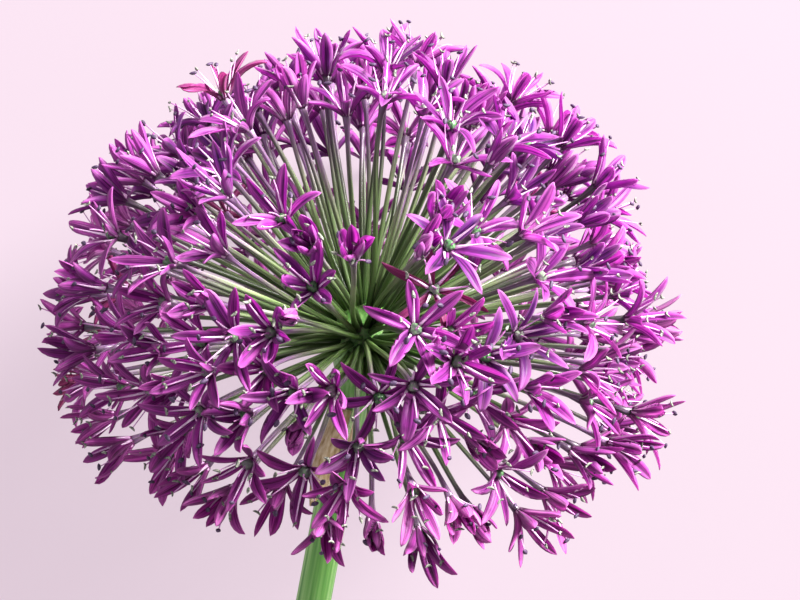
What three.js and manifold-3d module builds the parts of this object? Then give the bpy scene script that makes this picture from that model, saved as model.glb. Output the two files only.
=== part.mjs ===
// A cut ornamental onion (allium) flower lying on a table: a round head of star-shaped purple florets, each
// on its own thin green stalk, that all spring from the swollen top of one bare green stem. The stalks come
// off the stem in small clusters, so one cluster of florets and stalks is one piece.
//
// Units are millimetres and degrees. The flower is grown upright, with the middle of its hub at the origin
// and +Z along the stem towards the top of the head, and the finished flower is then laid down: its stem
// runs towards -Y and its cut end rests on the table at Z = 0, as the head does.
import * as THREE from "three";
import Module from "manifold-3d";
import { mergeVertices } from "three/addons/utils/BufferGeometryUtils.js";

const wasm = await Module();
wasm.setup();

// The stem.
const STEM_LENGTH = 180; // from the middle of the hub to the longer side of the cut
const STEM_TOP_RADIUS = 2.7;
const STEM_CUT_RADIUS = 3.2;
const STEM_CUT_SLANT = 35; // of the florist's cut, away from square across the stem
const STEM_SIDES = 28;

// The hub, the swollen top of the stem that carries the stalks.
const HUB_RADIUS = 5.6;
const HUB_NECK = 5; // from the bottom of its round part down to where it has narrowed into the stem
const HUB_NECK_ANGLE = 35; // from straight down, round to where the round part begins
const HUB_STEPS = 7;

// The head of florets.
const CLUSTER_COUNT = 57;
const FLORETS_IN_CLUSTER = 4;
const SEAT_RADIUS = 38.5; // from the middle of the hub to where an average floret begins
const SEAT_STAGGER = 3.6; // how much longer or shorter the stalks are than that
const LAST_POLAR = 102; // the lowest florets, measured from the top of the head
const LOPSIDED = 6; // how much further down they reach on one side, and less far on the other
const LOPSIDED_TO = -40; // where round the head they reach lowest
const FIRST_SPREAD = 7; // from a cluster's middle to its florets, before they find their places
const SETTLING_STEPS = 110;
const MOVE_APART = 0.5; // of what two neighbours lack to their fair share, in each step
const MOVE_OUT = 0.9; // of how deep a floret is in a gap, in each step
const CROWDED = [84, -12]; // the place, [polar, around], where the florets are closest together
const CROWDING = 0.2; // how much closer than on average they are there, and further apart on the other side
const CLUSTER_REACH = 0.8; // of a fair share, how far a floret may be from the middle of its cluster
const MOVE_HOME = 0.9; // of how much further away it is than that, in each step

// Clusters at the front in which some florets have fixed places, each given as [polar, around]: degrees
// down from the top of the head, and degrees round it, with 0 at the front and 90 on the right.
const FRONT_CLUSTERS = [
  [[61, -13], [72, -17], [54, -5]],
  [[57, 16], [45, 15], [66, 11]],
  [[80, -3], [90, 4], [91, -9]],
  [[70, 27], [82, 19], [63, 41]],
  [[71, -34], [61, -39], [82, -26]],
  [[47, 39], [31, 38], [35, 56]],
];
// Gaps that the florets leave between them, through which the stalks show: [polar, around, radius].
const GAPS = [
  [35, -10, 19],
  [67, -2, 12],
  [62, -26, 7],
  [57, 29, 6],
  [74, 48, 6],
];

// A floret and its stalk.
const STALK_RADIUS = 0.5;
const STALK_SIDES = 3;
const STALK_SAG = 0.05; // of the stalk's length, how far its waist hangs below a straight line
const WAIST = 0.55; // of the stalk's length, from the knuckle to the waist
const PARTING_STEPS = 20;
const PARTING_PLACES = 12; // along a stalk, where its distance from the others is measured
const PARTING_REACH = 0.9; // neighbours are the florets whose directions are nearer than this
const KNUCKLE_RADIUS = 0.8; // where the stalks of a cluster meet
const FLORET_DEPTH = 6.6;
const MOUTH_RADIUS = 4.7; // from the floret's axis to the tips of its petals, when nothing is in the way
const SMALLEST_MOUTH = 1.6;
const FLORET_FOOT = 0.85; // the radius where the petals leave the stalk
const PETALS = 6;
const NOTCH_REACH = 0.5; // of the mouth, how far out the notches between two petals are
const NOTCH_HEIGHT = 0.62; // of the depth
const THROAT_HEIGHT = 0.4; // of the depth, where the hollow of the floret ends
const NOD = 16; // how far a floret may turn aside from its stalk

// The papery bracts that wrapped the bud, and hang back along the stem.
const BRACT_LENGTH = 15;
const BRACT_WIDTH = 5.5; // at the end by the hub
const BRACT_TIP_WIDTH = 0.6;
const BRACT_HOLLOW = 0.6; // how deep the side towards the stem is, where it is widest
const BRACT_THICKNESS = 0.5;
const BRACT_TURNS = [75, 250]; // where round the stem each one hangs
const BRACT_SPLAY = 14; // away from the stem
const BRACT_ROWS = 5;

// How it lies, and the room left between neighbours.
const HUB_HEIGHT = 41; // of the middle of the hub above the table: the florets below it are pressed flatter
const GAP = 0.3;
const WELD = 1e-4; // points closer than this are one

const GREEN = new THREE.MeshStandardMaterial({ color: 0x5f9448, roughness: 0.5, metalness: 0 });
const PURPLE = new THREE.MeshStandardMaterial({ color: 0xa2469a, roughness: 0.55, metalness: 0 });
const PAPERY = new THREE.MeshStandardMaterial({ color: 0xcdbf98, roughness: 0.8, metalness: 0 });

const UP = new THREE.Vector3(0, 0, 1);
const GOLDEN_TURN = 180 * (3 - Math.sqrt(5));
const radians = THREE.MathUtils.degToRad;

// The unit vector that points down from the top of the head by polar, and round it by around.
function direction(polar, around) {
  const [p, a] = [radians(polar), radians(around)];
  return new THREE.Vector3(Math.sin(p) * Math.sin(a), -Math.sin(p) * Math.cos(a), Math.cos(p));
}

// A number from 0 to 1 that looks random but is the same each time for the same n.
function scatter(n, kind) {
  const value = Math.sin(n * 12.9898 + kind * 78.233) * 43758.5453;
  return value - Math.floor(value);
}

// How far down from the top of the head the florets reach, at a place round it.
function lastPolar(around) {
  return LAST_POLAR + LOPSIDED * Math.cos(radians(around - LOPSIDED_TO));
}

// The lean that brings the underside of the cut end down to the table, when the hub is HUB_HEIGHT above it.
const lean =
  Math.asin(HUB_HEIGHT / Math.hypot(STEM_LENGTH, STEM_CUT_RADIUS)) -
  Math.atan2(STEM_CUT_RADIUS, STEM_LENGTH);
// Upwards from the table, in the upright flower's frame.
const TABLE_UP = new THREE.Vector3(0, -Math.cos(lean), Math.sin(lean));
const heightOf = (point) => HUB_HEIGHT + point.dot(TABLE_UP);

// A closed surface through rings that all have the same number of points, with a flat face at each end.
function loft(rings) {
  const count = rings[0].length;
  const points = rings.flat();
  const first = points.length;
  points.push(middleOf(rings[0]), middleOf(rings.at(-1)));
  const faces = [];
  for (let r = 0; r + 1 < rings.length; r++) {
    for (let i = 0; i < count; i++) {
      const [a, b] = [r * count + i, r * count + ((i + 1) % count)];
      faces.push(a, b, b + count, a, b + count, a + count);
    }
  }
  const last = (rings.length - 1) * count;
  for (let i = 0; i < count; i++) {
    const next = (i + 1) % count;
    faces.push(first, next, i, first + 1, last + i, last + next);
  }
  return surface(points, faces);
}

function middleOf(ring) {
  return ring.reduce((sum, p) => sum.add(p), new THREE.Vector3()).divideScalar(ring.length);
}

function surface(points, faces) {
  const geometry = new THREE.BufferGeometry().setFromPoints(points);
  geometry.setIndex(faces);
  return geometry;
}

// A ring of points round a centre, square to an axis.
function ring(centre, axis, radius, count, turn = 0) {
  const square = new THREE.Quaternion().setFromUnitVectors(UP, axis);
  return Array.from({ length: count }, (_, i) => {
    const angle = (2 * Math.PI * i) / count + turn;
    const spoke = new THREE.Vector3(Math.cos(angle), Math.sin(angle), 0).multiplyScalar(radius);
    return spoke.applyQuaternion(square).add(centre);
  });
}

function solidOf(geometry) {
  const bare = geometry.clone();
  bare.deleteAttribute("normal");
  bare.deleteAttribute("uv");
  const merged = mergeVertices(bare, WELD);
  return new wasm.Manifold(
    new wasm.Mesh({
      numProp: 3,
      vertProperties: new Float32Array(merged.attributes.position.array),
      triVerts: new Uint32Array(merged.index.array),
    }),
  );
}

function geometryOf(solid) {
  const { vertProperties, triVerts } = solid.getMesh();
  return new THREE.BufferGeometry()
    .setAttribute("position", new THREE.BufferAttribute(new Float32Array(vertProperties), 3))
    .setIndex(new THREE.BufferAttribute(new Uint32Array(triVerts), 1));
}

// Where every floret points from the hub. The front clusters come first, with their fixed florets, and the
// others start on a golden-angle spiral whose turns are drawn round towards the crowded front. Then, step by
// step, each cluster moves away from the clusters that are nearer than its fair share of the head, and each
// floret away from the florets that are, out of the gaps, and back towards the middle of its own cluster.
function arrangeFlorets() {
  const florets = [];
  const lowest = Math.cos(radians(LAST_POLAR));
  const spiralled = CLUSTER_COUNT - FRONT_CLUSTERS.length;
  for (let cluster = 0; cluster < CLUSTER_COUNT; cluster++) {
    const places = FRONT_CLUSTERS[cluster] ?? [];
    for (const place of places) florets.push({ cluster, at: direction(...place), fixed: true });
    const k = cluster - FRONT_CLUSTERS.length;
    const even = k * GOLDEN_TURN;
    const turn = even - THREE.MathUtils.radToDeg(2 * CROWDING) * Math.sin(radians(even));
    const polar = THREE.MathUtils.radToDeg(Math.acos(1 - ((1 - lowest) * (k + 0.5)) / spiralled));
    const middle = k < 0 ? clusterMiddles(florets)[cluster] : direction(polar, turn);
    const square = new THREE.Quaternion().setFromUnitVectors(UP, middle);
    for (let i = places.length; i < FLORETS_IN_CLUSTER; i++) {
      const offset = direction(FIRST_SPREAD, (360 * i) / FLORETS_IN_CLUSTER + turn);
      florets.push({ cluster, at: offset.applyQuaternion(square), fixed: false });
    }
  }
  const gaps = GAPS.map(([polar, around, radius]) => {
    return { at: direction(polar, around), radius: radians(radius) };
  });
  const clusterShare = fairShare(CLUSTER_COUNT, lowest);
  const share = fairShare(florets.length, lowest);
  for (let step = 0; step < SETTLING_STEPS; step++) {
    const middles = clusterMiddles(florets);
    const roomAt = (at) => 1 - CROWDING * at.dot(direction(...CROWDED));
    const clusterMoves = middles.map((at) => awayFrom(at, middles, clusterShare * roomAt(at), MOVE_APART));
    const moves = florets.map((floret) => {
      const others = florets.map((other) => other.at);
      const move = awayFrom(floret.at, others, share * roomAt(floret.at), MOVE_APART);
      move.add(clusterMoves[floret.cluster]);
      for (const gap of gaps) move.add(awayFrom(floret.at, [gap.at], gap.radius + share / 2, MOVE_OUT));
      const home = middles[floret.cluster].clone().sub(floret.at);
      return move.addScaledVector(home, Math.max(0, home.length() - share * CLUSTER_REACH) * MOVE_HOME);
    });
    florets.forEach((floret, i) => {
      if (!floret.fixed) floret.at = raised(floret.at.add(moves[i]).normalize());
    });
  }
  return florets;
}

// The same direction, or the nearest above it that florets reach down to.
function raised(at) {
  const around = THREE.MathUtils.radToDeg(Math.atan2(at.x, -at.y));
  return direction(Math.min(THREE.MathUtils.radToDeg(Math.acos(at.z)), lastPolar(around)), around);
}

// How far apart a number of things are when they fill the head, from its top down to lowest, as evenly as
// they can.
function fairShare(count, lowest) {
  const HEXAGON_FILL = Math.sqrt(3) / 2;
  return Math.sqrt((2 * Math.PI * (1 - lowest)) / count / HEXAGON_FILL);
}

// The step that takes a point away from each of the others that is nearer than distance.
function awayFrom(point, others, distance, share) {
  const move = new THREE.Vector3();
  for (const other of others) {
    const apart = point.clone().sub(other);
    const length = apart.length();
    if (length > 0 && length < distance) move.addScaledVector(apart, (share * (distance - length)) / length);
  }
  return move;
}

function clusterMiddles(florets) {
  const middles = Array.from({ length: CLUSTER_COUNT }, () => new THREE.Vector3());
  for (const floret of florets) middles[floret.cluster].add(floret.at);
  return middles.map((middle) => middle.normalize());
}

// Gives each floret its seat, the axis that it opens along, and its mouth. The stalk of a floret that would
// go through the table is shorter, so that its mouth rests on it.
function seatFlorets(florets) {
  florets.forEach((floret, i) => {
    const reach = SEAT_RADIUS + SEAT_STAGGER * (2 * scatter(i, 1) - 1);
    floret.seat = floret.at.clone().multiplyScalar(reach);
    const aside = direction(90, 360 * scatter(i, 2));
    const hang = Math.sin(radians(NOD)) * scatter(i, 3);
    floret.axis = floret.at.clone().addScaledVector(aside, hang).normalize();
    floret.turn = (2 * Math.PI * scatter(i, 4)) / PETALS;
  });
  for (const floret of florets) {
    const mouth = floret.seat.clone().addScaledVector(floret.axis, FLORET_DEPTH);
    const tilt = Math.sqrt(1 - floret.axis.dot(TABLE_UP) ** 2);
    const lowest = heightOf(mouth) - MOUTH_RADIUS * tilt;
    if (lowest < 0) floret.seat.addScaledVector(floret.at, -lowest / floret.at.dot(TABLE_UP));
  }
  for (const floret of florets) {
    floret.middle = floret.seat.clone().addScaledVector(floret.axis, FLORET_DEPTH * NOTCH_HEIGHT);
  }
  for (const floret of florets) {
    let nearest = Infinity;
    for (const other of florets) {
      if (other === floret) continue;
      const stalk = new THREE.Line3(new THREE.Vector3(), other.seat);
      const beside = stalk.closestPointToPoint(floret.middle, true, new THREE.Vector3());
      const free = floret.middle.distanceTo(beside) - FLORET_FOOT - GAP;
      nearest = Math.min(nearest, free, (floret.middle.distanceTo(other.middle) - GAP) / 2);
    }
    floret.mouth = THREE.MathUtils.clamp(nearest, SMALLEST_MOUTH, MOUTH_RADIUS);
  }
}

// Each stalk runs from its cluster's knuckle, just clear of the hub, through a waist to its floret's seat.
// The waist sags, and where stalks of two clusters would touch, both waists move aside.
function routeStalks(florets) {
  const middles = clusterMiddles(florets);
  for (const floret of florets) {
    floret.knuckle = middles[floret.cluster].clone().multiplyScalar(HUB_RADIUS + GAP + KNUCKLE_RADIUS);
    const along = floret.seat.clone().sub(floret.knuckle);
    floret.waist = floret.knuckle.clone().addScaledVector(along, WAIST);
    floret.waist.addScaledVector(TABLE_UP, -along.length() * STALK_SAG);
  }
  const room = 2 * (STALK_RADIUS + GAP);
  for (let step = 0; step < PARTING_STEPS; step++) {
    for (const one of florets) {
      for (const other of florets) {
        if (one.cluster !== other.cluster && one.at.distanceTo(other.at) < PARTING_REACH) {
          partStalks(one, other, room);
        }
      }
    }
  }
}

// Wherever one stalk comes closer than room to the other, both waists move apart.
function partStalks(one, other, room) {
  for (let i = 1; i < PARTING_PLACES; i++) {
    const point = stalkAt(one, i / PARTING_PLACES);
    const inner = new THREE.Line3(other.knuckle, other.waist);
    const outer = new THREE.Line3(other.waist, other.seat);
    for (const half of [inner, outer]) {
      const apart = point.clone().sub(half.closestPointToPoint(point, true, new THREE.Vector3()));
      const close = room - apart.length();
      if (close <= 0) continue;
      apart.setLength(close / 2);
      one.waist.add(apart);
      other.waist.sub(apart);
    }
  }
}

// The point at a share of the stalk's length, from its knuckle.
function stalkAt({ knuckle, waist, seat }, share) {
  if (share < WAIST) return knuckle.clone().lerp(waist, share / WAIST);
  return waist.clone().lerp(seat, (share - WAIST) / (1 - WAIST));
}

// A three-sided stalk from the knuckle to the floret's seat, and the floret: six petal tips round an open
// mouth, with a notch between each two, and one point in its throat.
function floretSolid(floret) {
  const { knuckle, waist, seat, axis, mouth, turn } = floret;
  const start = waist.clone().sub(knuckle).normalize();
  const along = seat.clone().sub(knuckle).normalize();
  const stalk = [
    ...ring(knuckle, start, STALK_RADIUS, STALK_SIDES, turn),
    ...ring(waist, along, STALK_RADIUS, STALK_SIDES, turn),
    ...ring(seat, axis, FLORET_FOOT, STALK_SIDES, turn),
  ];
  const tips = ring(seat.clone().addScaledVector(axis, FLORET_DEPTH), axis, mouth, PETALS, turn);
  const notches = ring(floret.middle, axis, mouth * NOTCH_REACH, PETALS, turn + Math.PI / PETALS);
  const rim = tips.flatMap((tip, i) => [tip, notches[i]]);
  const throat = seat.clone().addScaledVector(axis, FLORET_DEPTH * THROAT_HEIGHT);
  const points = [...stalk, ...rim, throat];
  const faces = [2, 1, 0];
  for (const from of [0, STALK_SIDES]) {
    for (let i = 0; i < STALK_SIDES; i++) {
      const [a, b] = [from + i, from + ((i + 1) % STALK_SIDES)];
      faces.push(a, b, b + STALK_SIDES, a, b + STALK_SIDES, a + STALK_SIDES);
    }
  }
  const foot = 2 * STALK_SIDES;
  const rimAt = (i) => stalk.length + ((i + rim.length) % rim.length);
  const rimStep = rim.length / STALK_SIDES;
  for (let i = 0; i < STALK_SIDES; i++) {
    const [first, last] = [i * rimStep - rimStep / 2, i * rimStep + rimStep / 2];
    for (let r = first; r < last; r++) faces.push(foot + i, rimAt(r + 1), rimAt(r));
    faces.push(foot + i, foot + ((i + 1) % STALK_SIDES), rimAt(last));
  }
  for (let r = 0; r < rim.length; r++) faces.push(rimAt(r), rimAt(r + 1), points.length - 1);
  return solidOf(surface(points, faces));
}

// A cluster: the stalks of its florets, joined in one knuckle.
function clusterGeometry(florets) {
  let solid = solidOf(new THREE.IcosahedronGeometry(KNUCKLE_RADIUS).translate(...florets[0].knuckle));
  for (const floret of florets) solid = solid.add(floretSolid(floret));
  return geometryOf(solid);
}

// The stem and its hub are one turned shape, cut off at a slant.
function stemGeometry() {
  const profile = [new THREE.Vector2(0, -STEM_LENGTH), new THREE.Vector2(STEM_CUT_RADIUS, -STEM_LENGTH)];
  profile.push(new THREE.Vector2((STEM_TOP_RADIUS + STEM_CUT_RADIUS) / 2, -STEM_LENGTH / 2));
  profile.push(new THREE.Vector2(STEM_TOP_RADIUS, -HUB_RADIUS - HUB_NECK));
  for (let i = 0; i <= HUB_STEPS; i++) {
    const angle = radians(HUB_NECK_ANGLE + ((180 - HUB_NECK_ANGLE) * i) / HUB_STEPS);
    const radius = i === HUB_STEPS ? 0 : HUB_RADIUS * Math.sin(angle);
    profile.push(new THREE.Vector2(radius, -HUB_RADIUS * Math.cos(angle)));
  }
  const turned = new THREE.LatheGeometry(profile, STEM_SIDES).rotateX(Math.PI / 2);
  const reach = 4 * STEM_CUT_RADIUS; // of the block that is cut away, past the stem on every side
  const knife = new THREE.BoxGeometry(2 * reach, 2 * reach, reach).translate(0, -reach, -reach / 2);
  knife.rotateX(-radians(STEM_CUT_SLANT));
  knife.translate(0, STEM_CUT_RADIUS, -STEM_LENGTH);
  return geometryOf(solidOf(turned).subtract(solidOf(knife)));
}

// A bract: a thin pointed sheet that hangs back along the stem from below the hub, and is hollow towards it.
function bractGeometry() {
  const rings = [];
  for (let row = 0; row <= BRACT_ROWS; row++) {
    const down = row / BRACT_ROWS;
    const width = Math.hypot(BRACT_WIDTH * Math.sqrt(1 - down ** 2), BRACT_TIP_WIDTH) / 2;
    const splay = BRACT_LENGTH * down * Math.sin(radians(BRACT_SPLAY));
    const middle = new THREE.Vector3(splay, 0, -BRACT_LENGTH * down);
    const hollow = BRACT_HOLLOW * ((2 * width) / BRACT_WIDTH) ** 2;
    const edge = (x, y) => middle.clone().add(new THREE.Vector3(x, y, 0));
    const half = BRACT_THICKNESS / 2;
    rings.push([
      edge(-half - hollow, -width),
      edge(half - hollow, -width),
      edge(half, 0),
      edge(half - hollow, width),
      edge(-half - hollow, width),
      edge(-half, 0),
    ]);
  }
  return loft(rings.reverse());
}

const flower = new THREE.Group();
function place(name, geometry, material) {
  const mesh = new THREE.Mesh(geometry, material);
  mesh.name = name;
  flower.add(mesh);
  return mesh;
}

place("stem", stemGeometry(), GREEN);
BRACT_TURNS.forEach((turn, i) => {
  const bract = place(`spathe_bract_${i + 1}`, bractGeometry(), PAPERY);
  const angle = radians(turn);
  bract.rotation.z = angle;
  const clear = STEM_TOP_RADIUS + BRACT_HOLLOW + BRACT_THICKNESS / 2 + 2 * GAP;
  bract.position.set(clear * Math.cos(angle), clear * Math.sin(angle), -HUB_RADIUS - HUB_NECK);
});

const florets = arrangeFlorets();
seatFlorets(florets);
routeStalks(florets);
for (let cluster = 0; cluster < CLUSTER_COUNT; cluster++) {
  const own = florets.filter((floret) => floret.cluster === cluster);
  place(`floret_cluster_${String(cluster + 1).padStart(2, "0")}`, clusterGeometry(own), PURPLE);
}

// Laid down: the head towards +Y, its front upwards, and the middle of its footprint on the origin.
flower.rotation.x = lean - Math.PI / 2;
const allium = new THREE.Group();
allium.add(flower);
allium.updateMatrixWorld(true);
const footprint = new THREE.Box3().setFromObject(allium, true);
const middle = footprint.getCenter(new THREE.Vector3());
flower.position.set(-middle.x, -middle.y, -footprint.min.z);

export default allium;
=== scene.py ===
import math

import bpy
import numpy as np
from mathutils import Matrix, Vector


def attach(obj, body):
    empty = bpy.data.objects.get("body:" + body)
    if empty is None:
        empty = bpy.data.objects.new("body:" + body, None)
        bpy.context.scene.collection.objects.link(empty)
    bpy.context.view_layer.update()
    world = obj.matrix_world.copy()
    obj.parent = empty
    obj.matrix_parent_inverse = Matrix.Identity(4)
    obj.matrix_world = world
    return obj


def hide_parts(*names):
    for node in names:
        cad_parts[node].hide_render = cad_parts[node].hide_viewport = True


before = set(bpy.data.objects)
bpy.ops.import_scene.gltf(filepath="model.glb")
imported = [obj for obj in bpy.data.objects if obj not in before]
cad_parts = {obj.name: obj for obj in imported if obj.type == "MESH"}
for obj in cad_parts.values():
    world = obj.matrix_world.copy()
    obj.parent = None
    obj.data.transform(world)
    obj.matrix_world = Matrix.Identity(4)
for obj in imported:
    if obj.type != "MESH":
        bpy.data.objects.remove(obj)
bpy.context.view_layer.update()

MM = 0.001  # the frame is in metres, and the sizes below are in millimetres


# ---------------------------------------------------------------------------------------------- the camera
# It looks down on the flower as it lies: on the front of the head, a little from the crown's side, with the
# stem running out of the picture at the bottom. The hub, where all the stalks meet, is found here first.

def merged(node):
    """The points of a CAD node without repeats, as rows of x, y, z, and its triangles, as rows of point
    numbers."""
    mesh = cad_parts[node].data
    places = np.empty(len(mesh.vertices) * 3)
    mesh.vertices.foreach_get("co", places)
    mesh.calc_loop_triangles()
    corners = np.empty(len(mesh.loop_triangles) * 3, int)
    mesh.loop_triangles.foreach_get("vertices", corners)
    points, number = np.unique(places.reshape(-1, 3).round(7), axis=0, return_inverse=True)
    return points, number.reshape(-1)[corners].reshape(-1, 3)


def unit(vectors):
    """The same vectors, each divided by its length."""
    return vectors / np.linalg.norm(vectors, axis=-1, keepdims=True)


def sphere_through(points):
    """The middle c and radius r of the sphere nearest to the points p, which solve
    2 p.c + (r^2 - c.c) = p.p by least squares."""
    known = np.column_stack([2 * points, np.ones(len(points))])
    *middle, rest = np.linalg.lstsq(known, (points**2).sum(1), rcond=None)[0]
    middle = np.array(middle)
    return middle, math.sqrt(rest + middle @ middle)


DOME_REACH = 10 * MM  # nearer to the crown than this, the stem's points lie on its round hub
stem_points, _ = merged("stem")
cut_tip = stem_points[stem_points[:, 1].argmin()]
crown = stem_points[np.linalg.norm(stem_points - cut_tip, axis=1).argmax()]
dome = stem_points[np.linalg.norm(stem_points - crown, axis=1) < DOME_REACH]
hub, hub_radius = sphere_through(dome)
up_stem = unit(crown - hub)  # along the stem, towards the crown of the head
front = unit(np.cross([1.0, 0, 0], up_stem))  # square to the stem, away from the table
right = np.cross(up_stem, front)

camera = bpy.data.objects.new("camera", bpy.data.cameras.new("camera"))
bpy.context.collection.objects.link(camera)
bpy.context.scene.camera = camera
camera.data.lens = 85
FROM_HUB = 286 * MM
RISE = math.radians(20)  # from the front of the head towards its crown
ROLL = math.radians(11)  # how far the flower leans to the right in the picture
ASIDE, ABOVE = 5.6 * MM, 5.6 * MM  # from the hub to the middle of the picture
back = math.cos(RISE) * front + math.sin(RISE) * up_stem
across = math.cos(ROLL) * right + math.sin(ROLL) * np.cross(back, right)
upwards = np.cross(back, across)
place = hub + back * FROM_HUB + across * ASIDE + upwards * ABOVE
camera.matrix_world = Matrix(np.column_stack([across, upwards, back, place]).tolist() + [[0, 0, 0, 1]])
camera.data.clip_start = 0.01


# ---------------------------------------------------------------------------------------------- the stem
# The bare stem and its swollen top are one grown piece, round, firm and finely ridged along its length, with
# a waxy green skin. It was cut off with a knife at a slant, which shows the pale, wet pith.

def tube_along(centre, tangent, ref, wide, high, ring):
    """Points of tubes carried along paths. At each path point, a ring of points centre + wide cos(a) b +
    high sin(a) n, where b is ref made square to the tangent and n = tangent x b. The points are an array of
    (tubes, rows, ring, 3)."""
    b = unit(ref - (ref * tangent).sum(-1, keepdims=True) * tangent)
    n = np.cross(tangent, b)
    angle = np.arange(ring) / ring * 2 * np.pi
    sidewards = (wide * np.cos(angle))[..., None] * b[:, :, None]
    upwards = (high * np.sin(angle))[..., None] * n[:, :, None]
    return centre[:, :, None] + (sidewards + upwards)


def grow(name, parts, materials, slot, *nodes):
    """Makes one piece from closed tubes. Each part is (points, values, material number): its points are
    (tubes, rows, ring, 3), and every value is a named number for each point. The rows of a tube are joined by
    four-sided faces, and one face closes each end. On the UV map, each tube has a square cell of its own."""
    MARGIN = 0.04  # of a cell, left free on each side of it
    tubes = sum(len(points) for points, _, _ in parts)
    cells = math.ceil(math.sqrt(tubes))
    names = sorted({key for _, values, _ in parts for key in values})
    faces, corners, kinds, places, table = [], [], [], [], []
    first, tube = 0, 0
    for points, values, kind in parts:
        count, rows, ring = points.shape[:3]
        number = first + np.arange(count * rows * ring).reshape(count, rows, ring)
        after = np.roll(number, -1, axis=2)
        sides = np.stack([number[:, :-1], after[:, :-1], after[:, 1:], number[:, 1:]], -1)
        faces += sides.reshape(-1, 4).tolist() + number[:, 0, ::-1].tolist() + number[:, -1].tolist()
        row, turn = np.meshgrid(np.arange(rows - 1), np.arange(ring), indexing="ij")
        turns = np.stack([turn, turn + 1, turn + 1, turn], -1) / ring
        heights = np.stack([row, row, row + 1, row + 1], -1) / (rows - 1)
        cell = tube + np.arange(count)
        corner = np.stack([cell % cells, cell // cells], -1)
        side = np.stack([turns, heights], -1).reshape(1, -1, 2)
        low = np.stack([np.arange(ring)[::-1] / ring, np.zeros(ring)], -1)[None]
        high = np.stack([np.arange(ring) / ring, np.ones(ring)], -1)[None]
        for spot in (side, low, high):
            corners.append((corner[:, None] + MARGIN + (1 - 2 * MARGIN) * spot).reshape(-1, 2) / cells)
        kinds += [kind] * (count * ((rows - 1) * ring + 2))
        places.append(points.reshape(-1, 3))
        given = [np.broadcast_to(values.get(key, 0.0), (count, rows, ring)).reshape(-1) for key in names]
        table.append(np.array(given).reshape(len(names), count * rows * ring))
        first += count * rows * ring
        tube += count
    mesh = bpy.data.meshes.new(name)
    mesh.from_pydata(np.concatenate(places).tolist(), [], faces)
    mesh.uv_layers.new(name="OFBake").data.foreach_set("uv", np.concatenate(corners).ravel())
    mesh.polygons.foreach_set("use_smooth", np.ones(len(faces), bool))
    mesh.polygons.foreach_set("material_index", np.array(kinds))
    for key, row in zip(names, np.concatenate(table, axis=1)):
        mesh.attributes.new(key, "FLOAT", "POINT").data.foreach_set("value", row.astype(np.float32))
    for material in materials:
        mesh.materials.append(material)
    piece = bpy.data.objects.new(name, mesh)
    bpy.context.collection.objects.link(piece)
    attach(piece, "root")
    if nodes:
        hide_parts(*nodes)
    return piece


def colour(code):
    """Linear red, green, blue and alpha of an sRGB colour such as #7a9c50."""
    parts = [int(code[i:i + 2], 16) / 255 for i in (1, 3, 5)]
    return [c / 12.92 if c <= 0.04045 else ((c + 0.055) / 1.055) ** 2.4 for c in parts] + [1.0]


def add(tree, kind, inputs=(), stops=(), **settings):
    """Adds a node, sets its properties, and links or sets its inputs, which are given by name or number. A
    ramp's stops are its first, its last, and then those between them."""
    made = tree.nodes.new(kind)
    for key, value in settings.items():
        setattr(made, key, value)
    for key, value in dict(inputs).items():
        if isinstance(value, bpy.types.NodeSocket):
            tree.links.new(value, made.inputs[key])
        else:
            made.inputs[key].default_value = value
    for i, (place, code) in enumerate(stops):
        ramp = made.color_ramp.elements
        stop = ramp[i] if i < 2 else ramp.new(place)
        stop.position = place
        stop.color = colour(code)
    return made


def surface(name, **sockets):
    """A new material with one Principled shader that has the given sockets set, its node tree, the shader and
    the output that it is linked to."""
    made = bpy.data.materials.new(name)
    made.use_nodes = True
    tree = made.node_tree
    tree.nodes.clear()
    settings = {key.replace("_", " "): value for key, value in sockets.items()}
    shader = add(tree, "ShaderNodeBsdfPrincipled", settings)
    out = add(tree, "ShaderNodeOutputMaterial", {"Surface": shader.outputs["BSDF"]})
    return made, tree, shader, out


# Waxy stem skin over wet flesh: a little glossy, with fine pale streaks along the fibres under it, and light
# that spreads in it. The pith is paler and grainy.
STREAK, STREAK_LENGTH = 0.35, 14  # the size of one pale streak
STREAK_HIGH = 0.06
PITH_GRAIN = 0.5
skin, tree, shader, _ = surface("fresh waxy stem skin", Roughness=0.42, IOR=1.42)
shader.inputs["Subsurface Weight"].default_value = 0.25
shader.inputs["Subsurface Radius"].default_value = (0.5, 0.9, 0.2)
shader.inputs["Subsurface Scale"].default_value = 1.2 * MM
lean = math.atan2(up_stem[2], up_stem[1])
place = add(tree, "ShaderNodeTexCoord").outputs["Object"]
turned = add(tree, "ShaderNodeVectorRotate", {"Vector": place, "Angle": -lean}, rotation_type="X_AXIS")
stretch = (1, STREAK / STREAK_LENGTH, 1)
fibres = add(tree, "ShaderNodeMapping", {"Vector": turned.outputs[0], "Scale": stretch})
streaks = add(tree, "ShaderNodeTexNoise",
              {"Vector": fibres.outputs[0], "Scale": 1 / (2 * STREAK * MM), "Detail": 3})
tone = add(tree, "ShaderNodeValToRGB", {"Fac": streaks.outputs["Fac"]},
           stops=[(0.32, "#4e8a39"), (0.68, "#8fbf6e"), (0.5, "#69a54d")])
cut = add(tree, "ShaderNodeAttribute", attribute_name="cut")
pith = add(tree, "ShaderNodeTexNoise", {"Vector": place, "Scale": 1 / (PITH_GRAIN * MM), "Detail": 2})
wet = add(tree, "ShaderNodeValToRGB", {"Fac": pith.outputs["Fac"]},
          stops=[(0.35, "#a9bd78"), (0.65, "#d6dcb0")])
both = add(tree, "ShaderNodeMix", {0: cut.outputs["Fac"], 6: tone.outputs[0], 7: wet.outputs[0]},
           data_type="RGBA")
tree.links.new(both.outputs[2], shader.inputs["Base Color"])
bump = add(tree, "ShaderNodeBump",
           {"Height": streaks.outputs["Fac"], "Strength": 0.25, "Distance": STREAK_HIGH * MM})
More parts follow.
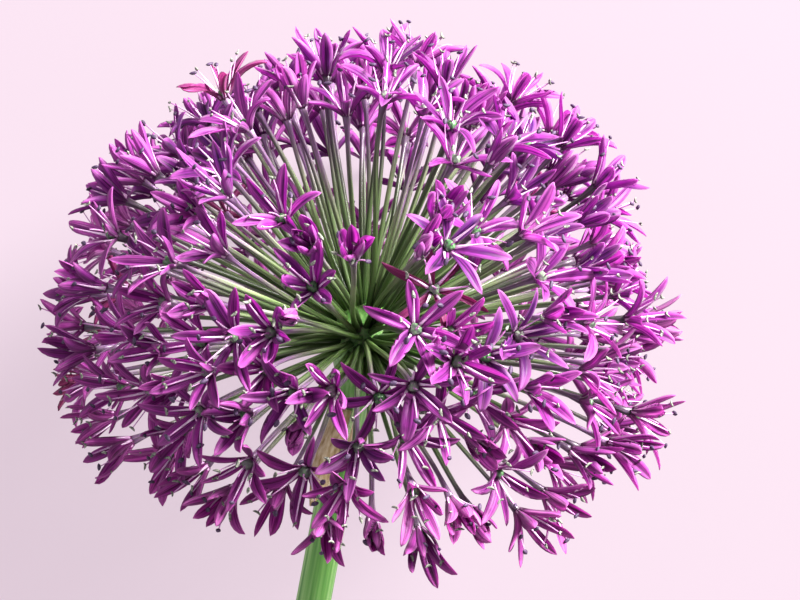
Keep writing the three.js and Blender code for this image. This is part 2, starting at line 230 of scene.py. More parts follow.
tree.links.new(bump.outputs[0], shader.inputs["Normal"])

STEM_ROWS, STEM_RING = 96, 48
CUT_ROWS = 4  # of the rows, on the cut face and its edge
HUB_ROWS = 20  # of the rows, over the top of the hub
RIDGES, RIDGE = 17, 0.015  # ridges round the stem, and their height as a share of its radius
CUT_DISH = 0.25  # how far the middle of the cut has shrunk in
NECK_END, NECK_SWELL = 0.6, 0.8  # where the neck meets the hub, along and across, as shares of its radius

# The sizes of the CAD stem, read along it from the hub.
along_stem = (stem_points - hub) @ up_stem
off_stem = stem_points - hub - along_stem[:, None] * up_stem
radius = np.linalg.norm(off_stem, axis=1)
side = along_stem < -1.5 * hub_radius
cut_low, cut_high = along_stem.min(), along_stem[along_stem < 0.9 * along_stem.min()].max()
cut_radius = radius[along_stem < cut_low + 5 * MM].max()
neck_at, neck_radius = along_stem[side].max(), radius[along_stem == along_stem[side].max()].mean()

# The stem's radius by place: a straight taper, then a neck that widens as a square, then the round hub.
angle = np.arange(STEM_RING) / STEM_RING * 2 * np.pi
facing = np.sin(angle)  # 1 on the side away from the table
cut_at = cut_low + (cut_high - cut_low) * (1 + facing) / 2
long_rows = np.linspace(0, 1, STEM_ROWS - CUT_ROWS - HUB_ROWS) * 0.93
spread = np.concatenate([np.zeros(CUT_ROWS), long_rows, np.linspace(0.94, 1, HUB_ROWS)])
at = cut_at + (hub_radius * 0.999 - cut_at) * spread[:, None]
taper = np.interp(at, [cut_low, neck_at], [cut_radius, neck_radius])
dome_radius = np.sqrt(np.clip(hub_radius**2 - np.clip(at, -hub_radius, None) ** 2, 0, None))
neck_end = -NECK_END * hub_radius
widen = np.clip((at - neck_at) / (neck_end - neck_at), 0, 1) ** 2
neck = neck_radius + (NECK_SWELL * hub_radius - neck_radius) * widen
thick = np.where(at > neck_end, dome_radius, np.where(at > neck_at, neck, taper))
ridge = 1 - RIDGE * (1 - np.cos(RIDGES * angle)) - 0.6 * RIDGE * (1 - np.cos((RIDGES + 4) * angle + 1))
thick = thick * ridge
thick[:CUT_ROWS] *= np.array([0.02, 0.55, 0.9, 1.0])[:, None]
at[:3] = cut_low + (cut_high - cut_low) * (1 + facing * thick[:3] / thick[3]) / 2
at[:2] += CUT_DISH * MM * np.array([1.0, 0.6])[:, None]
out = right * np.cos(angle)[:, None] + front * np.sin(angle)[:, None]
points = hub + at[..., None] * up_stem + thick[..., None] * out
cut_rows = np.zeros((STEM_ROWS, STEM_RING))
cut_rows[:3] = 1
grow("cut_stem", [(points[None, :, ::-1], {"cut": cut_rows[None]}, 0)], [skin], "stem", "stem")


# ---------------------------------------------------------------------------------------------- the florets
# Each floret is a small six-petalled star. Where it sits, which way it faces and where its first petal points
# are read from the cups of its CAD cluster, and how far it has opened differs from floret to floret.

CUP_SHARE = 0.62  # of the cluster's reach from the hub: everything further out belongs to the cups


def cups(node):
    """Finds the cups of a cluster: its far triangles fall apart into one island for each floret. An island is
    found by giving joined points the lowest of their numbers, again and again. It has a foot ring of 3 points
    nearest to the hub, and 6 petal tips farthest from that ring's middle."""
    ROUNDS = 12  # enough for a number to reach every point of an island
    points, triangles = merged(node)
    reach = np.linalg.norm(points - hub, axis=1)
    knuckle = points[reach < 1.4 * hub_radius].mean(0)
    far = triangles[(reach[triangles] > CUP_SHARE * reach.max()).all(1)]
    island = np.arange(len(points))
    for _ in range(ROUNDS):
        np.minimum.at(island, far, np.repeat(island[far].min(1), 3).reshape(-1, 3))
    found = []
    for label in np.unique(island[far]):
        own = points[np.unique(far[island[far][:, 0] == label])]
        seat = own[np.linalg.norm(own - hub, axis=1).argsort()[:3]].mean(0)
        tips = own[np.linalg.norm(own - seat, axis=1).argsort()[-6:]]
        found.append((seat, tips.mean(0), tips[0], knuckle))
    return found


cluster_names = sorted(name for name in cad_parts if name.startswith("floret_cluster_"))
read = [cups(name) for name in cluster_names]
cluster = np.repeat(np.arange(len(read)), [len(found) for found in read])
seat, mouth, tip, knuckle = (np.array([f[i] for found in read for f in found]) for i in range(4))
florets = len(seat)
axis = unit(mouth - seat)
side = unit(tip - mouth)
other = np.cross(axis, side)

chance = np.random.default_rng(11)
HANGING, HANGING_CLOSED = -0.24, 0.75  # how far back along the stem a floret points, and how many are closed
kind = chance.choice(4, florets, p=[0.34, 0.42, 0.17, 0.07])  # open star, half open, cup and bud
at = unit(seat - hub)
low_down = (at @ up_stem < HANGING) & (chance.random(florets) < HANGING_CLOSED)
kind = np.where(low_down, chance.choice([2, 3], florets), kind)
opened = np.choose(kind, [chance.uniform(0.8, 1.0, florets), chance.uniform(0.45, 0.75, florets),
                          chance.uniform(0.22, 0.4, florets), chance.uniform(0.0, 0.12, florets)])


def floret_at(polar, around):
    """The floret that points most nearly so many degrees down from the crown, and round from the front."""
    down, round_it = math.radians(polar), math.radians(around)
    level = math.cos(round_it) * front + math.sin(round_it) * right
    return (at @ (math.cos(down) * up_stem + math.sin(down) * level)).argmax()


WITHERED = floret_at(57, 16)  # the one large star on the front that has withered to a wine red
CUP, BUD = floret_at(54, -5), floret_at(52, 10)  # its closed neighbours
dried = (chance.random(florets) < 0.03) * 0.8  # a few others, none of them on the front
dried[at @ front > 0.3] = 0
dried[WITHERED], opened[WITHERED] = 1, 0.95
opened[CUP], opened[BUD] = 0.28, 0.08
PETALS = 6
which = np.repeat(np.arange(florets), PETALS)  # the floret of each petal, and of each stamen
petal_turn = np.tile(np.arange(PETALS) * 2 * np.pi / PETALS, florets)


def pressed(points):
    """Lays what would reach the table on it: heights z under 1.5 mm become 1.5 exp(z / 1.5 - 1)."""
    soft = 1.5 * MM
    height = points[..., 2]
    drawn_in = soft * np.exp(np.minimum(height / soft, 1) - 1)
    return np.concatenate([points[..., :2], np.where(height < soft, drawn_in, height)[..., None]], -1)


# ---------------------------------------------------------------------------------------------- the stalks
# The thin stalks that carry the florets: round, juicy and slightly translucent, a darker green where they
# crowd together on the hub, which is partly painted shade, and flushed with violet towards the floret. Each
# widens into the seat of its petals.

STALK_ROWS, STALK_RING = 15, 8
STALK_FOOT, STALK_MIDDLE, STALK_NECK, STALK_FLARE, STALK_SEAT = 0.52, 0.37, 0.33, 0.5, 0.68  # radii
SAG = 0.05  # of its length

# Fresh stalk skin over wet flesh: shiny, with fine darker fibres along it, and each stalk a little lighter or
# darker than the next.
stalk, tree, shader, _ = surface("juicy green flower stalk", Roughness=0.32, IOR=1.45)
shader.inputs["Subsurface Weight"].default_value = 0.3
shader.inputs["Subsurface Radius"].default_value = (0.6, 0.9, 0.3)
shader.inputs["Subsurface Scale"].default_value = 0.8 * MM
along = add(tree, "ShaderNodeAttribute", attribute_name="along")
tint = add(tree, "ShaderNodeAttribute", attribute_name="tint")
length = add(tree, "ShaderNodeMath", {0: tint.outputs["Fac"], 1: 0.3, 2: along.outputs["Fac"]},
             operation="MULTIPLY_ADD")
# The darker, greyer green at the foot is partly the stalks' own green and partly painted shade where they
# crowd on the hub.
tone = add(tree, "ShaderNodeValToRGB", {"Fac": length.outputs[0]},
           stops=[(0.0, "#56763f"), (1.0, "#b088b6"), (0.3, "#88ae64"), (0.7, "#a4b888"), (0.92, "#aa9ca6")])
turn = add(tree, "ShaderNodeAttribute", attribute_name="turn")
fibres = add(tree, "ShaderNodeCombineXYZ",
             {0: turn.outputs["Fac"], 1: along.outputs["Fac"], 2: tint.outputs["Fac"]})
fibres = add(tree, "ShaderNodeMapping", {"Vector": fibres.outputs[0], "Scale": (9, 2.5, 60)})
streaks = add(tree, "ShaderNodeTexNoise", {"Vector": fibres.outputs[0], "Scale": 1.0, "Detail": 2})
light = add(tree, "ShaderNodeValToRGB", {"Fac": streaks.outputs["Fac"]},
            stops=[(0.35, "#98a294"), (0.65, "#ffffff")])
both = add(tree, "ShaderNodeMix", {0: 1.0, 6: tone.outputs[0], 7: light.outputs[0]}, data_type="RGBA",
           blend_type="MULTIPLY")
pale = add(tree, "ShaderNodeAttribute", attribute_name="pale")
shade = add(tree, "ShaderNodeValToRGB", {"Fac": pale.outputs["Fac"]},
            stops=[(0.0, "#7f8d7c"), (1.0, "#ffffff")])
both = add(tree, "ShaderNodeMix", {0: 1.0, 6: both.outputs[2], 7: shade.outputs[0]}, data_type="RGBA",
           blend_type="MULTIPLY")
tree.links.new(both.outputs[2], shader.inputs["Base Color"])

# Each stalk is a cubic Bezier curve that leaves the hub squarely, sags a little, and bends part of the way
# towards its floret's axis.
chance = np.random.default_rng(12)
start = hub + 0.93 * hub_radius * unit(0.5 * unit(knuckle - hub) + 0.5 * unit(seat - hub))
reach = np.linalg.norm(seat - start, axis=1, keepdims=True)
droop = np.array([0, 0, -SAG]) * reach
leave = start + 0.35 * reach * unit(start - hub) + droop
arrive = seat - 0.3 * reach * unit(axis + unit(seat - hub)) + droop
arrive = arrive + 0.03 * reach * chance.uniform(-1, 1, (florets, 3))
share = np.linspace(0, 1, STALK_ROWS)[None, :, None]
path = ((1 - share) ** 3 * start[:, None] + 3 * (1 - share) ** 2 * share * leave[:, None]
        + 3 * (1 - share) * share**2 * arrive[:, None] + share**3 * seat[:, None])
tangent = unit(np.gradient(path, axis=1))
radii = [STALK_FOOT, STALK_MIDDLE, STALK_MIDDLE, STALK_NECK, STALK_FLARE, STALK_SEAT]
width = np.interp(share[..., 0], [0, 0.25, 0.6, 0.9, 0.96, 1], radii)
width = (width * chance.uniform(0.88, 1.1, (florets, 1)) * MM)[..., None]
stalk_points = pressed(tube_along(path, tangent, side[:, None], width, width, STALK_RING))
stalk_values = {"along": share, "tint": chance.uniform(0, 1, (florets, 1, 1)),
                "pale": chance.uniform(0, 1, (florets, 1, 1)),
                "turn": np.abs(np.arange(STALK_RING) / STALK_RING - 0.5)}


# ---------------------------------------------------------------------------------------------- the petals
# Six narrow, pointed petals to a floret, thin and softly satiny. Each is a shallow channel with a darker rib
# along its middle and paler edges and tip, and lets some light through from behind.

PETAL_ROWS = 9
SECTION = np.array([1, 0.5, 0, -0.5, -1, -0.5, 0, 0.5])  # across the petal's inner face, and back under it
UNDER = np.array([0, 0, 0, 0, 0, 1, 1, 1])
PETAL_THICK, RIB_THICK = 0.13, 0.3

# Fresh petal, a thin skin full of sap: satiny, with fine lengthwise lines, and it glows where light comes
# through. The places on it are shares: across from rib to edge, along from foot to tip. Its tint drifts in
# soft blotches, its rib is darker, its throat is darkened with painted shade, its edges and tip are paler,
# and a withered one is wine red.
VEIN_HIGH = 0.08
petal, tree, shader, out = surface("thin violet petal", Roughness=0.44, IOR=1.42)
shader.inputs["Sheen Weight"].default_value = 0.2
along = add(tree, "ShaderNodeAttribute", attribute_name="along").outputs["Fac"]
across_petal = add(tree, "ShaderNodeAttribute", attribute_name="across").outputs["Fac"]
tint = add(tree, "ShaderNodeAttribute", attribute_name="tint").outputs["Fac"]
own = add(tree, "ShaderNodeAttribute", attribute_name="own").outputs["Fac"]
where = add(tree, "ShaderNodeCombineXYZ", {0: across_petal, 1: along, 2: own}).outputs[0]
fine = add(tree, "ShaderNodeMapping", {"Vector": where, "Scale": (6, 0.7, 90)})
vein = add(tree, "ShaderNodeTexNoise", {"Vector": fine.outputs[0], "Scale": 1.0, "Detail": 2}).outputs["Fac"]
broad = add(tree, "ShaderNodeMapping", {"Vector": where, "Scale": (1.2, 2.2, 70)})
blotch = add(tree, "ShaderNodeTexNoise",
             {"Vector": broad.outputs[0], "Scale": 1.0, "Detail": 1}).outputs["Fac"]
drift = add(tree, "ShaderNodeMath", {0: blotch, 1: 0.7, 2: -0.35}, operation="MULTIPLY_ADD").outputs[0]
tint = add(tree, "ShaderNodeMath", {0: tint, 1: drift}).outputs[0]
hue = add(tree, "ShaderNodeValToRGB", {"Fac": tint},
          stops=[(0.0, "#7a3098"), (1.0, "#f6c2ee"), (0.25, "#a238a8"), (0.5, "#c64ac2"),
                 (0.75, "#e47cda")]).outputs[0]
lines = add(tree, "ShaderNodeValToRGB", {"Fac": vein}, stops=[(0.32, "#a274ac"), (0.6, "#ffffff")]).outputs[0]
lined = add(tree, "ShaderNodeMix", {0: 1.0, 6: hue, 7: lines}, data_type="RGBA",
            blend_type="MULTIPLY").outputs[2]
off_rib = add(tree, "ShaderNodeMath", {0: across_petal}, operation="ABSOLUTE").outputs[0]
frayed = add(tree, "ShaderNodeMath", {0: vein, 1: 0.5, 2: off_rib}, operation="MULTIPLY_ADD").outputs[0]
rib = add(tree, "ShaderNodeValToRGB", {"Fac": frayed},
          stops=[(0.2, "#8c5a96"), (0.6, "#ffffff"), (0.36, "#c69ccc")])
ribbed = add(tree, "ShaderNodeMix", {0: 1.0, 6: lined, 7: rib.outputs[0]}, data_type="RGBA",
             blend_type="MULTIPLY").outputs[2]
rim = add(tree, "ShaderNodeMapRange", {"Value": off_rib, 1: 0.6, 2: 1.0, 3: 0.0, 4: 0.38}).outputs[0]
edged = add(tree, "ShaderNodeMix", {0: rim, 6: ribbed, 7: colour("#f09ce4")}, data_type="RGBA").outputs[2]
end = add(tree, "ShaderNodeMapRange", {"Value": along, 1: 0.7, 2: 1.0, 3: 0.0, 4: 0.45}).outputs[0]
tipped = add(tree, "ShaderNodeMix", {0: end, 6: edged, 7: colour("#ea94de")}, data_type="RGBA").outputs[2]
# Painted shade: towards its foot, each petal is darkened to deep wine-violet, as if shade fell in the
# floret's throat.
painted_throat_shade = add(tree, "ShaderNodeMapRange", {"Value": along, 1: 0.0, 2: 0.3, 3: 0.5, 4: 0.0}).outputs[0]
tone = add(tree, "ShaderNodeMix", {0: painted_throat_shade, 6: tipped, 7: colour("#74286e")}, data_type="RGBA").outputs[2]
dry = add(tree, "ShaderNodeAttribute", attribute_name="dry").outputs["Fac"]
wine = add(tree, "ShaderNodeValToRGB", {"Fac": vein}, stops=[(0.3, "#7a1c4c"), (0.65, "#c0508c")]).outputs[0]
tone = add(tree, "ShaderNodeMix", {0: dry, 6: tone, 7: wine}, data_type="RGBA").outputs[2]
tree.links.new(tone, shader.inputs["Base Color"])
bump = add(tree, "ShaderNodeBump", {"Height": vein, "Strength": 0.5, "Distance": VEIN_HIGH * MM})
tree.links.new(bump.outputs[0], shader.inputs["Normal"])
glow = add(tree, "ShaderNodeBsdfTranslucent", {"Color": tone})
mixed = add(tree, "ShaderNodeMixShader", {0: 0.58, 1: shader.outputs["BSDF"], 2: glow.outputs[0]})
tree.links.new(mixed.outputs[0], out.inputs["Surface"])


def bent_path(begin, length, low, high, turn, share, start_out, hook=0.0):
    """Paths in the planes through a floret's axis at angles turn round it. Their slope from the axis goes
    from low to high as share^1.3, with a hook as share^6 at the tip, and the distances out and up are the
    running sums of its sine and cosine. Also gives the tangents, and the ways inwards and sideways."""
    slope = low[:, None] + (high - low)[:, None] * share**1.3 + np.reshape(hook, (-1, 1)) * share**6
    step = length[:, None] * np.diff(share)
    gone = [np.cumsum((f(slope[:, 1:]) + f(slope[:, :-1])) / 2 * step, axis=1) for f in (np.sin, np.cos)]
    gone_out, gone_up = (np.concatenate([np.zeros((len(slope), 1)), g], 1) for g in gone)
    outwards = np.cos(turn)[:, None] * side[which] + np.sin(turn)[:, None] * other[which]
    a, r = axis[which][:, None], outwards[:, None]
    path = begin[:, None] + a * gone_up[..., None] + r * (start_out + gone_out)[..., None]
    tangent = a * np.cos(slope)[..., None] + r * np.sin(slope)[..., None]
    inner = a * np.sin(slope)[..., None] - r * np.cos(slope)[..., None]
    return path, tangent, inner, np.cross(a, r)


# The further a floret has opened, the longer and narrower its petals are, and the more they spread. Each
# bends aside, twists, and hollows into a channel by its own amount, and withered ones do so more.
chance = np.random.default_rng(13)
petals = len(which)
vary = chance.normal(0, 1, (9, petals))
wide_open = np.minimum(1, 2 * opened[which])
petal_length = (6.1 + 1.7 * wide_open + 0.5 * vary[0]) * MM
petal_width = (2.1 - 0.3 * wide_open + 0.24 * vary[1]) * MM * (1 - 0.35 * dried[which])
low = np.radians(14 + 30 * opened[which] + 5 * vary[2])
high = np.radians(-12 + 116 * opened[which] + 16 * vary[3] + 25 * dried[which])
share = 1 - (1 - np.linspace(0, 1, PETAL_ROWS)) ** 1.25
turn, hook = petal_turn + 0.09 * vary[4], -0.45 + 0.4 * vary[6]
path, tangent, inner, lateral = bent_path(seat[which], petal_length, low, high, turn, share, 0.5 * MM, hook)
half = petal_width[:, None] / 2 * (0.42 + 1.75 * share - 1.2 * share**2) * (1 - 0.98 * share**5) ** 0.62
twist = (((0.42 + 0.6 * dried[which]) * vary[5])[:, None] * share)[..., None]
sideways = lateral * np.cos(twist) + inner * np.sin(twist)
facing = inner * np.cos(twist) - lateral * np.sin(twist)
bend = (0.075 + 0.07 * dried[which])[:, None] * vary[7][:, None] * petal_length[:, None] * share**2
path = path + lateral * bend[..., None]
channel = (0.62 + 0.18 * vary[8] + 0.35 * dried[which])[:, None, None] * np.abs(SECTION) ** 1.6
thick = (PETAL_THICK + (RIB_THICK - PETAL_THICK) * (SECTION == 0)) * UNDER * MM
thick = thick * (1 - 0.7 * share[:, None])
wave = 0.07 * np.sin(8 * share[None, :, None] + 6 * vary[4][:, None, None]) * SECTION
lift = half[..., None] * (channel + wave) - thick
petal_points = pressed(path[:, :, None] + sideways[:, :, None] * (half[..., None] * SECTION)[..., None]
                       + facing[:, :, None] * lift[..., None])
fading = 0.85 * dried + 0.3 * np.clip(0.6 - at @ up_stem, 0, 1)  # the lower florets opened first
age = np.clip(chance.normal(0.46, 0.16, florets), 0.15, 0.85)
petal_tint = (age[which] + 0.06 * vary[0])[:, None, None] + 0.14 * UNDER
petal_values = {"along": share[:, None], "across": SECTION, "tint": petal_tint,
                "own": chance.random((petals, 1, 1)), "dry": fading[which][:, None, None]}
petal_values = {key: np.broadcast_to(value, petal_points.shape[:3]) for key, value in petal_values.items()}


# ---------------------------------------------------------------------------------------------- the stamens
# Six to a floret, one before each petal. The pale filament is flat and broad at its foot and thin at its
# tip, where the anther swings: a dark, plump bean until it opens, then a curved grey-green one with pollen.

FILAMENT_ROWS, FILAMENT_RING = 6, 5
ANTHER_ROWS, ANTHER_RING = 6, 6
POLLEN = 0.25  # across one clump of pollen

# Wet, translucent filament flesh, and the dull, grainy wall of an anther, which pollen makes duller.
filament, tree, shader, _ = surface("pale pink filament", Roughness=0.45, IOR=1.4)
shader.inputs["Subsurface Weight"].default_value = 0.3
shader.inputs["Subsurface Radius"].default_value = (0.9, 0.5, 0.8)
shader.inputs["Subsurface Scale"].default_value = 0.5 * MM
along = add(tree, "ShaderNodeAttribute", attribute_name="along")
tone = add(tree, "ShaderNodeValToRGB", {"Fac": along.outputs["Fac"]},
           stops=[(0.0, "#dfacda"), (1.0, "#c17fbb"), (0.35, "#f6def3")])
tree.links.new(tone.outputs[0], shader.inputs["Base Color"])
anther, tree, shader, _ = surface("anther, dark or dusted with pollen", Roughness=0.62, IOR=1.45)
ripe = add(tree, "ShaderNodeAttribute", attribute_name="ripe")
place = add(tree, "ShaderNodeTexCoord").outputs["Object"]
grain = add(tree, "ShaderNodeTexNoise", {"Vector": place, "Scale": 1 / (POLLEN * MM), "Detail": 2})
closed = add(tree, "ShaderNodeValToRGB", {"Fac": grain.outputs["Fac"]},
             stops=[(0.3, "#241a2c"), (0.7, "#54405f")])
burst = add(tree, "ShaderNodeValToRGB", {"Fac": grain.outputs["Fac"]},
            stops=[(0.35, "#343d38"), (0.65, "#98a08c")])
both = add(tree, "ShaderNodeMix", {0: ripe.outputs["Fac"], 6: closed.outputs[0], 7: burst.outputs[0]},
           data_type="RGBA")
tree.links.new(both.outputs[2], shader.inputs["Base Color"])

chance = np.random.default_rng(14)
vary = chance.normal(0, 1, (4, petals))
filament_length = (2.6 + 2.6 * wide_open + 0.6 * vary[0]) * MM
low = np.radians(14 + 16 * opened[which] + 5 * vary[1])
high = np.radians(-6 + 46 * opened[which] + 12 * vary[2])
share = np.linspace(0, 1, FILAMENT_ROWS)
begin, turn = seat[which] + axis[which] * 0.3 * MM, petal_turn + 0.12 * vary[3]
path, tangent, inner, lateral = bent_path(begin, filament_length, low, high, turn, share, 0.75 * MM)
width = (np.interp(share, [0, 0.3, 1], [0.3, 0.17, 0.09]) * MM)[None, :, None]
flat = np.broadcast_to(lateral, path.shape)
filament_points = pressed(tube_along(path, tangent, flat, width, 0.6 * width, FILAMENT_RING))
filament_values = {"along": np.broadcast_to(share[:, None], filament_points.shape[:3])}
swing = chance.uniform(0, 2 * np.pi, (petals, 1))
dip = chance.uniform(-0.7, 0.7, (petals, 1))
pointing = unit(lateral[:, 0] * np.cos(swing) + inner[:, -1] * np.sin(swing) + tangent[:, -1] * dip)
ripe = (chance.random(petals) < 0.55) * 1.0
anther_length = chance.uniform(0.9, 1.3, (petals, 1)) * MM
run = np.linspace(-0.5, 0.5, ANTHER_ROWS)
curve = (1.2 * ripe[:, None] * chance.uniform(0.3, 1, (petals, 1)) + 0.25) * (run**2 - 0.1)
path = (path[:, -1] + tangent[:, -1] * 0.25 * MM)[:, None] + (
    pointing[:, None] * run[:, None] + tangent[:, -1:] * curve[..., None]) * anther_length[:, None]
tangent = unit(np.gradient(path, axis=1))
plump = np.sqrt(1 - (1.96 * run) ** 2) * (0.3 - 0.09 * ripe[:, None]) * MM
lobes = 1 + 0.18 * np.cos(2 * np.arange(ANTHER_RING) / ANTHER_RING * 2 * np.pi)
flat = np.broadcast_to(np.cross(pointing, axis[which])[:, None], path.shape)
wide, high = plump[..., None] * lobes, 0.85 * plump[..., None]
anther_points = pressed(tube_along(path, tangent, flat, wide, high, ANTHER_RING))
anther_values = {"ripe": np.broadcast_to(ripe[:, None, None], anther_points.shape[:3])}


# ---------------------------------------------------------------------------------------------- the ovaries
# In the middle of each floret sits its ovary, bright green, shiny and knobbly, in three lobes like a tiny
# pumpkin, with the thin pale style standing on it.

OVARY_ROWS, OVARY_RING = 9, 12
OVARY_WIDE, OVARY_HIGH = 0.8, 1.6  # its radius and its height
KNOB, KNOB_HIGH = 0.45, 0.15

# Shiny, juicy green skin in small knobs, with a rosy blush on some of it. The knobs are painted lighter on
# top and darker between them: a painted highlight on each knob and painted shade in the creases.
ovary, tree, shader, _ = surface("shiny green ovary", Roughness=0.3, IOR=1.45)
shader.inputs["Subsurface Weight"].default_value = 0.25
shader.inputs["Subsurface Radius"].default_value = (0.4, 0.9, 0.3)
shader.inputs["Subsurface Scale"].default_value = 0.6 * MM
place = add(tree, "ShaderNodeTexCoord").outputs["Object"]
knobs = add(tree, "ShaderNodeTexVoronoi", {"Vector": place, "Scale": 1 / (KNOB * MM)}, feature="SMOOTH_F1")
# Painted highlight and shade: each knob's middle is light green and the creases between the knobs dark green.
green = add(tree, "ShaderNodeValToRGB", {"Fac": knobs.outputs["Distance"]},
            stops=[(0.1, "#68a860"), (0.6, "#27532f")])
rosy = add(tree, "ShaderNodeAttribute", attribute_name="rosy")
both = add(tree, "ShaderNodeMix", {0: rosy.outputs["Fac"], 6: green.outputs[0], 7: colour("#c890c2")},
           data_type="RGBA")
tree.links.new(both.outputs[2], shader.inputs["Base Color"])
bump = add(tree, "ShaderNodeBump",
           {"Height": knobs.outputs["Distance"], "Strength": 0.6, "Distance": KNOB_HIGH * MM}, invert=True)
tree.links.new(bump.outputs[0], shader.inputs["Normal"])

chance = np.random.default_rng(15)
ovary_blush = 0.3 * chance.random((florets, 1, 1)) ** 2
share = np.linspace(0.02, 0.98, OVARY_ROWS)
high = OVARY_HIGH * chance.uniform(0.85, 1.1, (florets, 1)) * MM
path = seat[:, None] + axis[:, None] * ((0.15 * MM + high * share)[..., None])
round_off = np.sin(np.pi * share) ** 0.6
angle = np.arange(OVARY_RING) / OVARY_RING * 2 * np.pi
lobes = 1 + 0.14 * np.cos(3 * angle) - 0.05 * np.cos(6 * angle)
width = OVARY_WIDE * chance.uniform(0.85, 1.1, (florets, 1, 1)) * MM * round_off[:, None] * lobes
width = width * chance.normal(1, 0.04, width.shape)
upright = np.broadcast_to(axis[:, None], path.shape)
ovary_points = tube_along(path, upright, side[:, None], width, width, OVARY_RING)
style_length = chance.uniform(1.5, 3.4, (florets, 1)) * MM
share = np.linspace(0, 1, 5)
path = seat[:, None] + axis[:, None] * (0.1 * MM + 0.9 * high + style_length * share)[..., None]
path = path + side[:, None] * (chance.normal(0, 0.5, (florets, 1)) * MM * share**2)[..., None]
width = np.interp(share, [0, 0.2, 1], [0.2, 0.12, 0.09])[None, :, None] * MM
style_points = tube_along(path, unit(np.gradient(path, axis=1)), other[:, None], width, width, 5)


def pick(values, chosen):
    """The values of the chosen tubes only, where a value is given for each tube."""
    return {key: value[chosen] if len(value) == len(chosen) else value for key, value in values.items()}


# The florets of each cluster are grown together, as four pieces.
for number, name in enumerate(cluster_names):
    own = cluster == number
    six = own[which]
    stamens = [(filament_points[six], pick(filament_values, six), 0),
               (anther_points[six], pick(anther_values, six), 1)]
    ovaries = [(ovary_points[own], {"rosy": ovary_blush[own]}, 0), (style_points[own], {"rosy": 1.0}, 0)]
    grow(f"{name}_petals", [(petal_points[six], pick(petal_values, six), 0)], [petal], "petal", name)
    grow(f"{name}_stalks", [(stalk_points[own], pick(stalk_values, own), 0)], [stalk], "stalk")
    grow(f"{name}_stamens", stamens, [filament, anther], "stamen")
    grow(f"{name}_ovaries", ovaries, [ovary], "ovary")


# ---------------------------------------------------------------------------------------------- the bracts
# The remains of the papery sheath that wrapped the bud: two thin, dry, cream-coloured sheets that hang back
# along the stem from just under the hub, creased along their veins and curled at the edges.

BRACT_ROWS, BRACT_HALF = 22, 9
BRACT_THICK, CREASE, CURL = 0.16, 0.1, 1.6  # its thickness, the height of its creases, and its tip's curl
VEIN = 0.5  # across one vein

# Dry, papery plant skin: dull, veined lengthwise in tan and cream, and it lets light through.
bract, tree, shader, out = surface("dry papery bract", Roughness=0.75, IOR=1.4)
place = add(tree, "ShaderNodeTexCoord").outputs["Object"]
turned = add(tree, "ShaderNodeVectorRotate", {"Vector": place, "Angle": -lean}, rotation_type="X_AXIS")
fibres = add(tree, "ShaderNodeMapping", {"Vector": turned.outputs[0], "Scale": (1, 0.08, 1)})
veins = add(tree, "ShaderNodeTexNoise", {"Vector": fibres.outputs[0], "Scale": 1 / (VEIN * MM), "Detail": 3})
tone = add(tree, "ShaderNodeValToRGB", {"Fac": veins.outputs["Fac"]},
           stops=[(0.3, "#a88f5e"), (0.7, "#e9dfc0"), (0.5, "#d3c296")])
tree.links.new(tone.outputs[0], shader.inputs["Base Color"])
glow = add(tree, "ShaderNodeBsdfTranslucent", {"Color": tone.outputs[0]})
mixed = add(tree, "ShaderNodeMixShader", {0: 0.35, 1: shader.outputs["BSDF"], 2: glow.outputs[0]})
tree.links.new(mixed.outputs[0], out.inputs["Surface"])

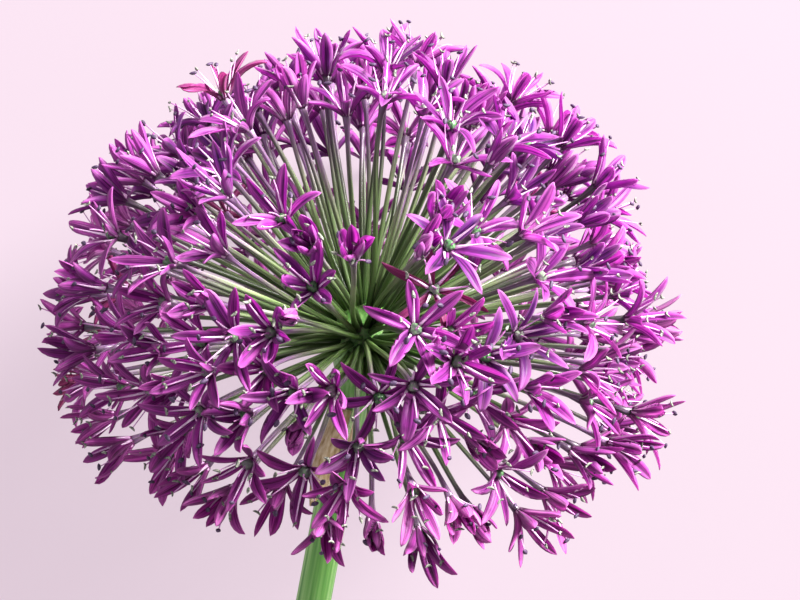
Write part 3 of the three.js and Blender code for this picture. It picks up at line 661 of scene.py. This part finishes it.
# Each is a strip that runs from the near end of its CAD node to the far one. Across, it is bent to a round
# arc that flattens towards the tip.
for number in (1, 2):
    node = f"spathe_bract_{number}"
    points, _ = merged(node)
    order = np.linalg.norm(points - hub, axis=1).argsort()
    begin, end = points[order[:6]].mean(0), points[order[-6:]].mean(0)
    run = unit(end - begin)
    away = begin - hub - ((begin - hub) @ up_stem) * up_stem
    away = unit(away - (away @ run) * run)
    flank = np.cross(away, run)
    full = np.ptp(points @ flank) / 2
    share = np.linspace(0, 1, BRACT_ROWS)
    v = np.linspace(1, -1, BRACT_HALF)
    section = np.concatenate([v, v[::-1][1:-1]])
    under = np.concatenate([np.zeros(BRACT_HALF), np.ones(BRACT_HALF - 2)])
    half = full * (0.75 + 0.9 * share - 1.2 * share**2) * (1 - 0.97 * share**4) ** 0.7
    roll = 1.05 - 0.5 * share
    bow = np.linalg.norm(end - begin) * share
    curl = CURL * MM * share**3
    creases = CREASE * MM * np.sin(14 * section + 5 * number) * (0.4 + share[:, None])
    spin = section * roll[:, None]
    x = half[:, None] * np.sin(spin) / np.sin(roll)[:, None]
    y = -half[:, None] * (1 - np.cos(spin)) / np.sin(roll)[:, None]
    y = y + creases + curl[:, None] - BRACT_THICK * MM * under
    grid = begin + run * bow[:, None, None] + flank * x[..., None] + away * y[..., None]
    grow(f"papery_bract_{number}", [(grid[None], {}, 0)], [bract], "bract", node)


# ---------------------------------------------------------------------------------------------- the table
# A plain, pale, matt table top, a little pink, that throws soft light back up between the stalks.

TABLE_GAP = 0.3  # below the flower, so that no two surfaces lie in one plane
bpy.ops.mesh.primitive_plane_add(size=4, location=(0, 0, -TABLE_GAP * MM))
table = bpy.context.object
table.name = "table"
paint, tree, shader, _ = surface("pale matt table top", Roughness=0.8)
shader.inputs["Base Color"].default_value = colour("#5c565a")
shader.inputs["Emission Color"].default_value = colour("#f9e3f1")
shader.inputs["Emission Strength"].default_value = 0.68
table.data.materials.append(paint)


# ---------------------------------------------------------------------------------------------- the light
# Soft studio light: a bright sky of pale fabric all round, a large lamp low on the right and towards the
# crown, which shines through the petals, and a weaker one on the left.

def lamp(name, place, width, power, tone):
    """A square soft lamp of a given width that faces the middle of the head."""
    light = bpy.data.objects.new(name, bpy.data.lights.new(name, "AREA"))
    bpy.context.collection.objects.link(light)
    light.data.size = width
    light.data.energy = power
    light.data.color = colour(tone)[:3]
    light.location = place
    light.rotation_euler = (Vector(place) - Vector(hub)).to_track_quat("Z", "Y").to_euler()


world = bpy.data.worlds.new("studio")
bpy.context.scene.world = world
world.use_nodes = True
sky = world.node_tree.nodes["Background"]
sky.inputs["Color"].default_value = colour("#fbf2fa")
sky.inputs["Strength"].default_value = 0.54
lamp("key", (0.85, 1.2, 0.5), 0.6, 150.0, "#fff6fa")
lamp("fill", (-0.5, 0.0, 0.5), 0.6, 1.0, "#e9dcff")
bpy.context.scene.view_settings.view_transform = "Standard"
